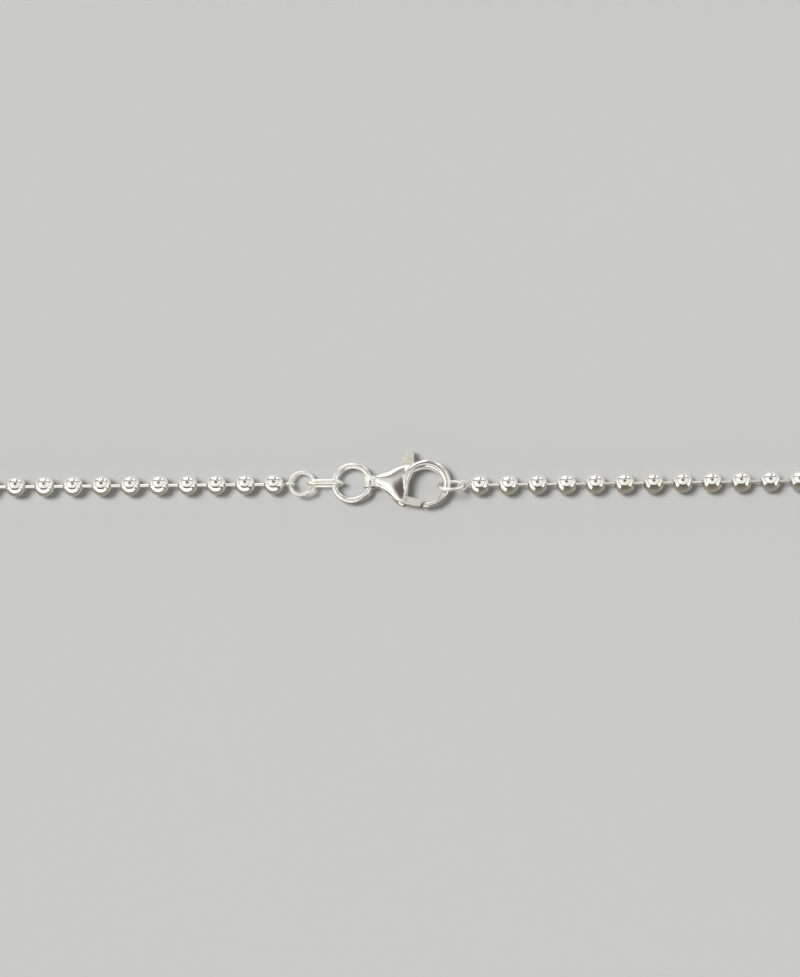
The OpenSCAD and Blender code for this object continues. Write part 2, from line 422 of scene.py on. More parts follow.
# Materials

SILVER = (0.93, 0.925, 0.9, 1)
CREAM_SILVER = (0.925, 0.91, 0.865, 1)
WHITE_SILVER = (0.96, 0.96, 0.95, 1)
WIRE_WHITE = (0.99, 0.99, 0.965, 1)
# Brown of tarnish, also used as painted shade where hollows and creases darken.
TARNISH_AND_SHADE = (0.30, 0.26, 0.20, 1)
BLASTED_FACE = (0.99, 0.99, 0.92, 1)
BLASTED_PIT = (0.75, 0.76, 0.685, 1)
# Whiter face where rings rub and on edges: partly wear, partly painted highlight.
RUBBED_AND_HIGHLIT_FACE = (1.0, 1.0, 0.97, 1)

# Noise scales are per metre, and the grain's height is in metres.
SMUDGE_SCALE = 700.0
STAIN_SCALE = 260.0
STAIN_START = 0.5
STAIN_FULL = 0.8
STAIN_SHARE = 0.25
TARNISH_ROUGHNESS = 0.25
GRAIN_HEIGHT = 0.00003
CLEAN_BEAD_ROUGHNESS = 0.035
HANDLED_BEAD_ROUGHNESS = 0.115
SPECK_SCALE = 6500.0
SPECK_START = 0.4
SPECK_FULL = 0.6
POLISH_START = 0.25
POLISH_FULL = 0.7
POLISHED_ROUGHNESS = 0.16


def make_finish_group():
    """Handled silver: smudges, fine scratches and tarnish that gathers in hollows, where the darkening is
    also painted shade in the creases.
    """
    tree, given, out = new_tree(
        "handled_silver", "ShaderNodeTree",
        [
            ("Clean", "NodeSocketColor", SILVER),
            ("Tarnished", "NodeSocketColor", TARNISH_AND_SHADE),
            ("Roughness", "NodeSocketFloat", 0.1),
            ("Smudge", "NodeSocketFloat", 0.1),
            ("Tarnish", "NodeSocketFloat", 0.3),
            ("Hollow", "NodeSocketFloat", 0.0),
            ("Grain Scale", "NodeSocketFloat", 3000.0),
            ("Grain Depth", "NodeSocketFloat", 0.1),
        ],
        [("Color", "NodeSocketColor"), ("Roughness", "NodeSocketFloat"), ("Normal", "NodeSocketVector")],
    )
    place = object_place(tree)
    smudge = noise(tree, place, SMUDGE_SCALE, detail=3.0)
    stain = noise(tree, place, STAIN_SCALE, detail=4.0)
    grain = noise(tree, place, given["Grain Scale"], detail=2.0)
    stained = ranged(tree, stain, STAIN_START, STAIN_FULL, 0.0, STAIN_SHARE)
    # Random stains are tarnish. The darkening in hollows is partly tarnish and partly painted shade in the
    # creases.
    stain_and_crease_shade = math_node(tree, "ADD", stained, given["Hollow"], clamp=True)
    amount = math_node(tree, "MULTIPLY", stain_and_crease_shade, given["Tarnish"], clamp=True)
    colour = mixed(tree, amount, given["Clean"], given["Tarnished"])
    spread = math_node(tree, "MULTIPLY", smudge, given["Smudge"])
    duller = math_node(tree, "MULTIPLY", amount, TARNISH_ROUGHNESS)
    rough = math_node(tree, "ADD", math_node(tree, "ADD", given["Roughness"], spread), duller)
    bump = put(
        tree, "ShaderNodeBump", {"Strength": given["Grain Depth"], "Distance": GRAIN_HEIGHT, "Height": grain}
    ).outputs[0]
    tree.links.new(colour, out.inputs["Color"])
    tree.links.new(rough, out.inputs["Roughness"])
    tree.links.new(bump, out.inputs["Normal"])
    return tree


FINISH = make_finish_group()


def silver(name, hollow="hollow", **values):
    """Silver material from the shared finish, with its hollows read from an attribute."""
    material, tree, shader = new_material(name)
    shader.inputs["Metallic"].default_value = 1.0
    finish = put(tree, "ShaderNodeGroup", node_tree=FINISH, name="finish")
    for key, value in values.items():
        finish.inputs[key.replace("_", " ").title()].default_value = value
    if hollow:
        tree.links.new(mask(tree, hollow), finish.inputs["Hollow"])
    tree.links.new(finish.outputs["Color"], shader.inputs["Base Color"])
    tree.links.new(finish.outputs["Roughness"], shader.inputs["Roughness"])
    tree.links.new(finish.outputs["Normal"], shader.inputs["Normal"])
    return material


def bead_silver():
    """Mirror finish, from bead to bead a little whiter or creamier and more or less handled."""
    material = silver("bead_silver", "lip", smudge=0.07, tarnish=0.45, grain_depth=0.06)
    tree = material.node_tree
    finish = tree.nodes["finish"]
    tone = mask(tree, "tone")
    handled = ranged(tree, tone, 0.0, 1.0, CLEAN_BEAD_ROUGHNESS, HANDLED_BEAD_ROUGHNESS)
    tree.links.new(mixed(tree, tone, CREAM_SILVER, WHITE_SILVER), finish.inputs["Clean"])
    tree.links.new(handled, finish.inputs["Roughness"])
    return material


def blasted_silver():
    """Matt blasted faces with edges that wear has polished. Whiter towards the gate's end and along the
    edges: partly rubbed clean by the rings, partly painted highlight.
    """
    material = silver(
        "blasted_silver", roughness=0.4, smudge=0.1, tarnish=0.35, grain_scale=5200.0, grain_depth=1.0
    )
    tree = material.node_tree
    finish = tree.nodes["finish"]
    edge = mask(tree, "edge")
    speck = noise(tree, object_place(tree), SPECK_SCALE, detail=2.0)
    pitted = ranged(tree, speck, SPECK_START, SPECK_FULL)
    # Whiter where rings rub and along the edges: partly wear, partly painted highlight.
    bright = math_node(tree, "MAXIMUM", mask(tree, "rubbed"), edge)
    face = mixed(tree, bright, BLASTED_FACE, RUBBED_AND_HIGHLIT_FACE)
    tree.links.new(mixed(tree, pitted, face, BLASTED_PIT), finish.inputs["Clean"])
    polish = ranged(tree, edge, POLISH_START, POLISH_FULL)
    rough = ranged(tree, polish, 0.0, 1.0, finish.outputs["Roughness"], POLISHED_ROUGHNESS)
    tree.links.new(rough, tree.nodes["Principled BSDF"].inputs["Roughness"])
    return material


BEAD_SILVER = bead_silver()
WIRE_SILVER = silver(
    "wire_silver", clean=WIRE_WHITE, roughness=0.2, smudge=0.1, tarnish=0.6, grain_depth=0.08
)
SMALL_WIRE_SILVER = silver(
    "small_wire_silver", clean=WIRE_WHITE, roughness=0.33, smudge=0.08, tarnish=0.2, grain_depth=0.08
)
BAR_SILVER = silver(
    "bar_silver", "", clean=WIRE_WHITE, roughness=0.17, smudge=0.06, tarnish=0.2, grain_depth=0.0
)
# Darker in its hollows: partly tarnish, partly painted shade in the crease by the rim.
CAST_SILVER = silver("cast_silver", roughness=0.1, smudge=0.1, tarnish=0.55, grain_depth=0.08)
BLASTED_SILVER = blasted_silver()


# Geometry Nodes for what repeats and what follows a path

def point_value(tree, label):
    """Value that each point of the given mesh holds under a name."""
    return put(tree, "GeometryNodeInputNamedAttribute", {"Name": label}, data_type="FLOAT").outputs[0]


def end_tree(tree, out, geometry, finish):
    """Ends a tree with real geometry and its material."""
    real = put(tree, "GeometryNodeRealizeInstances", {"Geometry": geometry}).outputs[0]
    done = put(tree, "GeometryNodeSetMaterial", {"Geometry": real, "Material": finish}).outputs[0]
    tree.links.new(done, out.inputs[0])
    return tree


def make_string_tree():
    """Sets a shape on each point along the chain, spun and tilted at random about it."""
    tree, given, out = new_tree(
        "string_along_chain", "GeometryNodeTree",
        [
            ("Geometry", "NodeSocketGeometry", None),
            ("Shape", "NodeSocketObject", None),
            ("Spin", "NodeSocketFloat", math.pi),
            ("Tilt", "NodeSocketFloat", 0.0),
            ("Smallest", "NodeSocketFloat", 1.0),
            ("Seed", "NodeSocketInt", 1),
            ("Finish", "NodeSocketMaterial", None),
        ],
        [("Geometry", "NodeSocketGeometry")],
    )

    def random_value(low, high, seed_shift):
        seed = math_node(tree, "ADD", given["Seed"], seed_shift)
        node = put(tree, "FunctionNodeRandomValue", data_type="FLOAT")
        for key, value in (("Min", low), ("Max", high)):
            socket = [s for s in node.inputs if s.name == key and s.type == "VALUE"][0]
            if isinstance(value, bpy.types.NodeSocket):
                tree.links.new(value, socket)
            else:
                socket.default_value = value
        tree.links.new(seed, node.inputs["Seed"])
        return [s for s in node.outputs if s.type == "VALUE"][0]

    spin = random_value(math_node(tree, "MULTIPLY", given["Spin"], -1.0), given["Spin"], seed_shift=0)
    tilt = random_value(math_node(tree, "MULTIPLY", given["Tilt"], -1.0), given["Tilt"], seed_shift=7)
    size = random_value(given["Smallest"], 1.0, seed_shift=13)
    tone = random_value(0.0, 1.0, seed_shift=29)
    turn = put(tree, "ShaderNodeCombineXYZ", {0: spin, 1: tilt, 2: point_value(tree, "heading")}).outputs[0]
    shape = put(tree, "GeometryNodeObjectInfo", {"Object": given["Shape"]}).outputs["Geometry"]
    placed = put(
        tree, "GeometryNodeInstanceOnPoints",
        {"Points": given["Geometry"], "Instance": shape, "Rotation": turn, "Scale": size},
    ).outputs[0]
    toned = put(
        tree, "GeometryNodeStoreNamedAttribute",
        {"Geometry": placed, "Name": "tone", "Value": tone}, data_type="FLOAT", domain="INSTANCE",
    ).outputs[0]
    return end_tree(tree, out, toned, given["Finish"])


def make_wire_tree():
    """Round wire along a path, as thick as the path's own attribute says."""
    tree, given, out = new_tree(
        "wire_along_path", "GeometryNodeTree",
        [
            ("Geometry", "NodeSocketGeometry", None),
            ("Wire Diameter", "NodeSocketFloat", 1.0),
            ("Sides", "NodeSocketInt", 20),
            ("Finish", "NodeSocketMaterial", None),
        ],
        [("Geometry", "NodeSocketGeometry")],
    )
    path = put(tree, "GeometryNodeMeshToCurve", {"Mesh": given["Geometry"]}).outputs[0]
    thick = point_value(tree, "thick")
    sized = put(tree, "GeometryNodeSetCurveRadius", {"Curve": path, "Radius": thick}).outputs[0]
    half = math_node(tree, "MULTIPLY", given["Wire Diameter"], 0.5)
    outline = put(
        tree, "GeometryNodeCurvePrimitiveCircle", {"Resolution": given["Sides"], "Radius": half}
    ).outputs[0]
    wire = put(
        tree, "GeometryNodeCurveToMesh", {"Curve": sized, "Profile Curve": outline, "Fill Caps": True}
    ).outputs[0]
    return end_tree(tree, out, wire, given["Finish"])


STRING_TREE = make_string_tree()
WIRE_TREE = make_wire_tree()


def grown(mesh, tree, **values):
    """Plain mesh of a node tree run on a mesh."""
    obj = linked(mesh)
    modifier = obj.modifiers.new("grow", "NODES")
    modifier.node_group = tree
    for item in tree.interface.items_tree:
        key = item.name.replace(" ", "_").lower()
        if item.in_out == "INPUT" and key in values:
            modifier[item.identifier] = values[key]
    return plain_mesh(obj)


# Chain

BEAD_SIDES = 26
BEAD_TILT = math.radians(4)
SMALLEST_BEAD = 0.985
BEAD_SEED = 3
CROWN_POINTS = 16
CROWN_DROP = 0.015
CAVE_POINTS = 5
LIP_ROUND = 0.06
LIP_TARNISH_R = 0.66
LIP_TARNISH_W = 0.2
BAR_SIDES = 14
BAR_HEAD_POINTS = 7
BAR_TILT = math.radians(1.4)
BAR_SEED = 11
POLE = 0.01
# Points of the bead hole's rounded edge: depth, and distance from the hole's wall.
HOLE_EDGE = [(0, LIP_ROUND), (0.02, 0.015), (0.07, 0)]
# How far past its ball heads the shank of a bar has points.
SHANK_STEPS = (0.02, 0.12)


def bead_profile():
    """Half section of a hollow bead: crown, flat lip round each hole, inner wall."""
    half = BEAD_LENGTH / 2
    hole = BEAD_HOLE_D / 2
    inner = BEAD_R - BEAD_WALL
    start = math.acos((half - CROWN_DROP) / BEAD_R)
    crown = arc(0, BEAD_R, start, math.pi - start, CROWN_POINTS)
    lip = [(half, BEAD_R * math.sin(start) - LIP_ROUND)]
    lip += [(half - depth, hole + out) for depth, out in HOLE_EDGE]
    shoulder = math.asin(hole / inner)
    cave = arc(0, inner, math.pi - shoulder, shoulder, CAVE_POINTS)
    return crown + [(-x, r) for x, r in lip] + cave + lip[::-1]


def bar_profile():
    """Half section of a bar: a plain shank with a ball head at each end."""
    head_x = HEAD_OFFSET - PITCH / 2
    shank_r = BAR_D / 2
    left = arc(head_x, HEAD_R, math.pi - POLE, math.asin(shank_r / HEAD_R), BAR_HEAD_POINTS)
    left += [(head_x + HEAD_R + step, shank_r) for step in SHANK_STEPS]
    return left + mirrored(left)


def add_string(name, shape_mesh, places, steps, finish, node, **spread):
    """Sets a shape on each place along the chain, headed along the steps between them."""
    cloud = make_mesh(name + "_places", [(x, y, BEAD_R) for x, y in places], [])
    store(cloud, "heading", np.arctan2(steps[:, 1], steps[:, 0]))
    shape = linked(shape_mesh)
    mesh = grown(cloud, STRING_TREE, shape=shape, spin=math.pi, finish=finish, **spread)
    bpy.data.objects.remove(shape)
    add_piece(name, mesh, finish, "necklace", node, node)


def add_beads():
    shape = lathed("bead_shape", bead_profile(), BEAD_SIDES)
    radius = np.hypot(*vertex_values(shape, "co")[:, 1:].T)
    store(shape, "lip", np.clip((LIP_TARNISH_R - radius) / LIP_TARNISH_W, 0, 1))
    ahead = np.vstack([BEAD_PLACES[1:], BEAD_PLACES[-1:]])
    behind = np.vstack([BEAD_PLACES[:1], BEAD_PLACES[:-1]])
    add_string(
        "ball_beads", shape, BEAD_PLACES, ahead - behind, BEAD_SILVER, "beads",
        tilt=BEAD_TILT, smallest=SMALLEST_BEAD, seed=BEAD_SEED,
    )


def add_bars():
    shape = lathed("bar_shape", bar_profile(), BAR_SIDES, capped=True)
    middles = (BEAD_PLACES[1:] + BEAD_PLACES[:-1]) / 2
    steps = BEAD_PLACES[1:] - BEAD_PLACES[:-1]
    add_string(
        "link_bars", shape, middles, steps, BAR_SILVER, "bars", tilt=BAR_TILT, smallest=1.0, seed=BAR_SEED
    )


# Rings, link and end eyes

WIRE_SIDES = 20
LINK_SIDES = 22
EYE_SHANK_SIDES = 24
RING_STEPS = 144
EYE_LOOP_STEPS = 72
EYE_HEAD_POINTS = 12
LINK_END_POINTS = 25
LINK_SIDE_POINTS = 14
WIRE_WEAR = 0.1
EYE_WEAR = 0.05
EYE_VOXEL = 0.028
EYE_ROUNDS = 5
# Where an end eye's shank starts, as a share of its loop's radius, and its next point past the loop.
EYE_SHANK_START = 0.96
EYE_SHANK_STEP = 0.3
# Widths of a soldered joint in degrees: parting of its ends, their standing off, swelling and seam.
JOINT_PART_W = 4
JOINT_REACH_W = 26
JOINT_SWELL_W = 9
JOINT_SEAM_W = 2.2
# Depth of the seam, as a multiple of the swelling.
JOINT_SEAM_DEPTH = 1.6
# Columns: height in mm, place and width in degrees of what makes the big ring a little unround.
BIG_RING_DENTS = [(0.05, -42, 14), (-0.07, -68, 16), (0.05, 52, 20)]
# Soldered swelling on the link: height as a share of the wire, place and width along the link.
LINK_SOLDER = (0.07, 0.4, 0.3)
# How far above the lower straight's middle a point still counts as being on it.
LINK_LEVEL_PLAY = 0.01


def wire_mesh(name, path, thick, diameter, sides=WIRE_SIDES):
    """Round wire along a closed path, with its thickness at each point as a share of its diameter."""
    count = len(path)
    mesh = make_mesh(name, path, [], [(i, (i + 1) % count) for i in range(count)])
    store(mesh, "thick", thick)
    return grown(mesh, WIRE_TREE, wire_diameter=diameter, sides=sides, finish=WIRE_SILVER)


def bell(x, width):
    return math.exp(-(x / width) ** 2)


def angle_gap(a, b):
    """Signed difference of two angles in degrees, from -180 to 180."""
    return (a - b + 180) % 360 - 180


def ring_wire(name, diameter, wire, joint, swell, step, dents=()):
    """Closed ring with a soldered joint at an angle: a swelling, and ends that don't quite meet."""
    path, thick = [], []
    for k in range(RING_STEPS):
        a = 360 * k / RING_STEPS
        gap = angle_gap(a, joint)
        offset = step * math.tanh(gap / JOINT_PART_W) * bell(gap, JOINT_REACH_W)
        r = diameter / 2 + offset + sum(h * bell(angle_gap(a, at), w) for h, at, w in dents)
        path.append((r * math.cos(math.radians(a)), r * math.sin(math.radians(a)), 0))
        seam = JOINT_SEAM_DEPTH * swell * bell(gap, JOINT_SEAM_W)
        thick.append(1 + swell * bell(gap, JOINT_SWELL_W) - seam)
    return wire_mesh(name, path, thick, wire)


def add_wire_piece(name, node, mesh, finish, wear, place, **turns):
    """Turns, places and wears a ring, link or end eye and finishes it as a piece."""
    turned(mesh, place=place, **turns)
    mark_wear(mesh, wear)
    add_piece(name, mesh, finish, "necklace", "rings", node)


def add_rings():
    small_wire = SMALL_WIRE * SMALL_WIRE_SWELL
    left = ring_wire("left_ring_wire", SMALL_RING_D, small_wire, joint=-50, swell=0.16, step=0.12)
    add_wire_piece("small_ring", "left_ring", left, SMALL_WIRE_SILVER, WIRE_WEAR, LEFT_RING, x=-12, y=4)
    big = ring_wire(
        "big_ring_wire", BIG_RING_D, BIG_WIRE, joint=-43, swell=0.06, step=0.03, dents=BIG_RING_DENTS
    )
    add_wire_piece("large_ring", "big_ring", big, WIRE_SILVER, WIRE_WEAR, BIG_RING, y=-1)
    hook = ring_wire("hook_ring_wire", SMALL_RING_D, small_wire, joint=200, swell=0.1, step=0.04)
    add_wire_piece(
        "hook_side_ring", "hook_ring", hook, SMALL_WIRE_SILVER, WIRE_WEAR, HOOK_RING, x=HOOK_RING_ROLL
    )


def add_link():
    """Oval link on edge: two half rings and two straights, soldered on its lower straight."""
    end_r = (LINK_HEIGHT - LINK_WIRE) / 2
    reach = (LINK_LENGTH - LINK_HEIGHT) / 2
    path = []
    for side in (1, -1):
        for t in np.linspace(0, math.pi, LINK_END_POINTS):
            path.append((side * (reach + end_r * math.sin(t)), 0, side * end_r * math.cos(t)))
        shares = np.linspace(0, 1, LINK_SIDE_POINTS)[1:-1]
        path += [(side * (reach - 2 * reach * s), 0, -side * end_r) for s in shares]
    height, place, width = LINK_SOLDER
    level = -end_r + LINK_LEVEL_PLAY
    thick = [1 + height * bell(x - place, width) * (z < level) for x, _, z in path]
    mesh = wire_mesh("oval_link_wire", path, thick, LINK_WIRE, LINK_SIDES)
    add_wire_piece("oval_edge_link", "oval_link", mesh, WIRE_SILVER, WIRE_WEAR, LINK)


def eye_mesh(name, tilt):
    """End eye: a wire loop closed against its own shank, whose ball head sits in the bead."""
    loop_r = EYE_D / 2
    head_x = EYE_REACH - HEAD_OFFSET
    turn = np.linspace(0, 2 * math.pi, EYE_LOOP_STEPS + 1)[:-1]
    loop = [(loop_r * math.cos(a), loop_r * math.sin(a), 0.0) for a in turn]
    ring = wire_mesh(name + "_loop", loop, [EYE_WIRE_SWELL] * len(loop), EYE_WIRE)
    turned(ring, x=tilt)
    shank_r = EYE_WIRE * EYE_WIRE_SWELL / 2
    start = loop_r * EYE_SHANK_START
    profile = [(start, POLE), (start, shank_r), (loop_r + EYE_SHANK_STEP, shank_r)]
    profile += arc(head_x, HEAD_R, math.pi - math.asin(shank_r / HEAD_R), POLE, EYE_HEAD_POINTS)
    shank = lathed(name + "_shank", profile, EYE_SHANK_SIDES, capped=True)
    return fused(name, [ring, shank], EYE_VOXEL, EYE_ROUNDS)


def add_eyes():
    for name, node, place, tilt, heading in (
        ("left_wire_eye", "left_end_eye", LEFT_EYE, 88, 180),
        ("right_wire_eye", "right_end_eye", RIGHT_EYE, 36, 0),
    ):
        add_wire_piece(name, node, eye_mesh(name, tilt), SMALL_WIRE_SILVER, EYE_WEAR, place, z=heading)


# Clasp

RIM_W = 0.62
SQUARENESS = 0.88
# Columns: angle round the claw, half thickness, outer radius.
HOOK_TABLE = np.array([
    [-102, 0.5, 3.6], [-60, 0.56, 3.6], [0, 0.64, 3.6], [50, 0.82, 3.6], [90, 1.0, 3.6],
    [142, 1.25, 3.5], [188, 1.28, 3.38],
])
# Columns: place, half width, half thickness of the rim where it runs down the cheek.
RIM_FOOT = np.array([
    [-3.02, -1.0, 0.41, 1.24], [-3.12, -1.6, 0.4, 1.16], [-3.26, -2.2, 0.37, 1.02],
    [-3.44, -2.75, 0.3, 0.82],
])
# Columns: place along the clasp, front edge, back edge, half thickness, shift of the ridge.
NECK_TABLE = np.array([
    [-7.38, -0.4, 1.12, 0.62, 0.0], [-7.0, -0.62, 1.4, 0.77, 0.0], [-6.5, -0.9, 1.6, 0.84, -0.05],
    [-5.8, -1.35, 1.88, 0.96, -0.5], [-4.9, -1.82, 2.4, 1.17, -1.5], [-4.2, -2.14, 2.86, 1.25, -2.2],
    [-3.6, -2.3, 3.12, 1.26, -2.55], [-3.1, -2.42, 3.3, 1.2, -2.55], [-2.5, -2.62, 3.42, 1.03, -2.2],
    [-1.5, -3.2, 3.53, 0.86, -0.8], [-0.2, -3.2, 3.46, 0.74, 0.0],
])
CHEEK_CUT = [
    (-2.45, -0.75), (-2.67, -1.3), (-3.03, -2.05), (-3.35, -3.1), (-3.45, -4.4),
    (-1.1, -4.4), (-0.62, -3.6), (0.23, -2.68), (0.3, -1),
]
SLOT = [
    (-6.9, -0.3), (-5.55, 0.4), (-5.3, 1.4), (-6.5, 1.72), (-6.5, 4.4), (-0.7, 4.4), (-0.95, 3.4),
    (-1.57, 2.9), (-1.57, 1.3), (0, 0.6), (-1.1, -4.4), (-6.9, -4.4),
]
TAB = [(-4.05, 0.4), (-3.7, 3.0), (-3.02, 4.42), (-1.81, 4.5), (-1.71, 3.3), (-2.05, 2.1), (-2.7, 0.4)]
TAB_TIP = (-2.42, 4.5)
TAB_TIP_R = 0.61
GATE = [
    (-3.85, -0.9), (-3.45, -2.3), (-3.2, -2.98), (-1.7, -3.34), (-0.88, -3.4),
    (-0.47, -2.62), (-1.7, -2.15), (-2.62, -1.93), (-2.95, -1.6), (-2.95, -0.9),
]
HUB_R = 0.85
# Below this Y in mm from the claw's middle, the lever grows whiter: partly rubbed clean, partly painted
# highlight.
RUB_AND_HIGHLIGHT_START = -1.2
# The rear eye's lips. Columns: distance from its end, distance out from its hole.
REAR_LIP_INSIDE = [(0.06, 0), (0, 0.07)]
# The rear eye's outside up to its waist. Columns: distance from its end, distance out from its side.
REAR_LIP_OUTSIDE = [(0, -0.06), (0.09, 0.02), (REAR_EYE_W / 4, -0.06), (REAR_EYE_W / 2, -0.12)]
REAR_BORE_REACH = 3
REAR_BORE_CORE = 0.001

HOOK_STEPS = 120
FOOT_STEPS = 30
HOOK_SIDES = 40
NECK_STEPS = 60
NECK_SIDES = 56
REAR_EYE_SIDES = 64
REAR_BORE_SIDES = 48
NECK_VOXEL = 0.06
NECK_ROUNDS = 1
CAST_VOXEL = 0.05
CAST_ROUNDS = 14
CUT_ROUNDS = 3
LEVER_VOXEL = 0.045
LEVER_ROUNDS = 4
BORE_ROUNDS = 2
CLASP_WEAR = 0.12
# The blend of neck and rim: its share at each angle and at each distance from the claw's middle.
BLEND_ANGLES = [88, 108, 152, 172]
BLEND_RADII = [2.6, 3.2, 4.3, 5.4]
BLEND_SHARES = [0, 1, 1, 0]
BLEND_ROUNDS = 110
BLEND_STEP = 0.5


def smooth_rows(table, count):
    """Rows between a table's own, on smooth curves through them (Catmull-Rom)."""
    padded = np.vstack([2 * table[0] - table[1], table, 2 * table[-1] - table[-2]])
    rows = []
    for u in np.linspace(0, len(table) - 1, count):
        k = min(int(u), len(table) - 2)
        t = u - k
        a, b, c, d = padded[k:k + 4]
        rows.append(0.5 * (2 * b + (c - a) * t + (2 * a - 5 * b + 4 * c - d) * t * t
                           + (3 * b - a - 3 * c + d) * t ** 3))
    return rows


def section(a, b, half_t, count, ridge=0.0):
    """Rounded section from a to b, up and down by half_t, its top and bottom shifted by ridge."""
    turn = np.arange(count) * 2 * math.pi / count
    across = np.sign(np.cos(turn)) * np.abs(np.cos(turn)) ** SQUARENESS
    up = np.sign(np.sin(turn)) * np.abs(np.sin(turn)) ** SQUARENESS
    return (a + b) / 2 + (b - a) / 2 * across + ridge * up ** 2, half_t * up


def claw_inner(angle):
    """Distance from the claw's middle to the opening's edge at an angle."""
    along = OPENING @ np.array([math.cos(angle), math.sin(angle)])
    return along + math.sqrt(along * along + OPENING_R ** 2 - OPENING @ OPENING)


def hook_form():
    """The claw, from its tip round to the cheek, and the rim's foot down the cheek."""
    rings = []
    for degrees in np.linspace(HOOK_TABLE[0, 0], HOOK_TABLE[-1, 0], HOOK_STEPS):
        half_t = np.interp(degrees, HOOK_TABLE[:, 0], HOOK_TABLE[:, 1])
        outer = np.interp(degrees, HOOK_TABLE[:, 0], HOOK_TABLE[:, 2])
        angle = math.radians(degrees)
        inner = claw_inner(angle)
        way = np.array([math.cos(angle), math.sin(angle)])
        r, z = section(outer, inner, half_t, HOOK_SIDES)
        rings.append(np.stack([r * way[0], r * way[1], z], 1))
    first = [*way * (outer + inner) / 2, (outer - inner) / 2, half_t]
    rows = smooth_rows(np.vstack([first, RIM_FOOT]), FOOT_STEPS)
    for last, row in zip(rows, rows[1:]):
        x, y, half_w, half_t = row
        step = row[:2] - last[:2]
        across = np.array([step[1], -step[0]]) / np.hypot(*step)
        w, z = section(half_w, -half_w, half_t, HOOK_SIDES)
        rings.append(np.stack([x + across[0] * w, y + across[1] * w, z], 1))
    return lofted("hook_form", rings)


def neck_form():
    """The flat horn that widens from the rear eye to the claw, with a ridge along it."""
    rings = []
    for x, front, back, half_t, ridge in smooth_rows(NECK_TABLE, NECK_STEPS):
        y, z = section(front, back, half_t, NECK_SIDES, ridge)
        rings.append(np.stack([np.full_like(y, x), y, z], 1))
    return lofted("neck_form", rings)


def rear_eye_form():
    """Short waisted tube with rounded, slightly flared lips, its hole along Y."""
    hole = REAR_HOLE_D / 2
    outer = REAR_EYE_D / 2
    half = REAR_EYE_W / 2
    left = [(-half + x, hole + out) for x, out in REAR_LIP_INSIDE]
    left += [(-half + x, outer + out) for x, out in REAR_LIP_OUTSIDE]
    mesh = lathed("rear_eye_form", left + mirrored(left[:-1]), REAR_EYE_SIDES)
    return turned(mesh, z=90, place=REAR_EYE - CLAW)


def rear_bore():
    """Rod through the rear eye's hole, longer than the eye is wide."""
    left = [(-REAR_BORE_REACH, REAR_BORE_CORE), (-REAR_BORE_REACH, REAR_HOLE_D / 2)]
    mesh = lathed("rear_bore", left + mirrored(left), REAR_BORE_SIDES)
    return turned(mesh, z=90, place=REAR_EYE - CLAW)


def blend_rim(mesh):
    """Fillets the crease between the neck and the claw's rim on the tab's side."""
    place = vertex_values(mesh, "co")
    angle = np.degrees(np.arctan2(place[:, 1], place[:, 0]))
    radius = np.hypot(place[:, 0], place[:, 1])
    weight = np.interp(angle, BLEND_ANGLES, BLEND_SHARES) * np.interp(radius, BLEND_RADII, BLEND_SHARES)
    mean = smoother(mesh)
    for _ in range(BLEND_ROUNDS):
        place += BLEND_STEP * weight[:, None] * (mean(place) - place)
    mesh.vertices.foreach_set("co", place.ravel())
    mesh.update()


def add_clasp_body():
    tall = 2 * CLAW_R
    opening = plate("opening_cut", disc(OPENING, OPENING_R + RIM_W), -tall, tall)
    neck = cut(neck_form(), [opening], NECK_VOXEL, NECK_ROUNDS)
    cast = fused("cast", [neck, hook_form(), rear_eye_form()], CAST_VOXEL, CAST_ROUNDS)
    blend_rim(cast)
    cutters = [
        plate("cheek_cut", CHEEK_CUT, -tall, tall),
        plate("slot_cut", SLOT, -SLOT_H / 2, SLOT_H / 2),
        rear_bore(),
    ]
    mesh = cut(cast, cutters, CAST_VOXEL, CUT_ROUNDS)
    mark_wear(mesh, CLASP_WEAR)
    turned(mesh, place=CLAW)
    add_piece("clasp_casting", mesh, CAST_SILVER, "necklace", "clasp", "clasp_body")


def add_clasp_lever():
    """Lever of tab, hub and gate, whose gate is whiter towards its end: partly rubbed clean by the ring,
    partly painted highlight.
    """
    half_t = LEVER_T / 2
    outlines = (TAB, disc(TAB_TIP, TAB_TIP_R), disc(PIVOT, HUB_R), GATE)
    parts = [plate("lever_part", outline, -half_t, half_t) for outline in outlines]
    whole = fused("lever", parts, LEVER_VOXEL, LEVER_ROUNDS)
    bore = plate("lever_bore", disc(PIVOT, PIN_D / 2 + PIN_PLAY), -LEVER_T, LEVER_T)
    mesh = cut(whole, [bore], LEVER_VOXEL, BORE_ROUNDS)
    mark_wear(mesh, CLASP_WEAR)
    # Whiter towards the gate's end: partly rubbed clean by the ring, partly painted highlight.
    store(mesh, "rubbed", np.clip(RUB_AND_HIGHLIGHT_START - vertex_values(mesh, "co")[:, 1], 0, 1))
    turned(mesh, place=CLAW)
    add_piece("clasp_trigger", mesh, BLASTED_SILVER, "lever", "lever", "clasp_lever")


def dress_pin():
    """The pivot pin is the CAD node itself with a better material."""
    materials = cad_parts["pivot_pin"].data.materials
    materials.clear()
    materials.append(WIRE_SILVER)


# Stage

# Half the side of the floor in metres.
FLOOR_HALF = 1.6
FLOOR_ROUGHNESS = 0.6
FLOOR_SEEN = (0.43, 0.43, 0.425, 1)
NEAR_FLOOR_IN_METAL = (0.21, 0.2, 0.17, 1)
FAR_FLOOR_IN_METAL = (0.52, 0.52, 0.5, 1)
# Where the floor changes in metal, in mm in front of the chain's line.
FLOOR_CHANGE_START = 2.5
FLOOR_CHANGE_END = 0.4

CARD_TOP = (0.15, 0.135, 0.095, 1)
CARD_FOOT = (0.22, 0.2, 0.155, 1)
# Distance in front of the chain, left and right end, height. All in mm.
CARD = (30, 7, 92, 32)

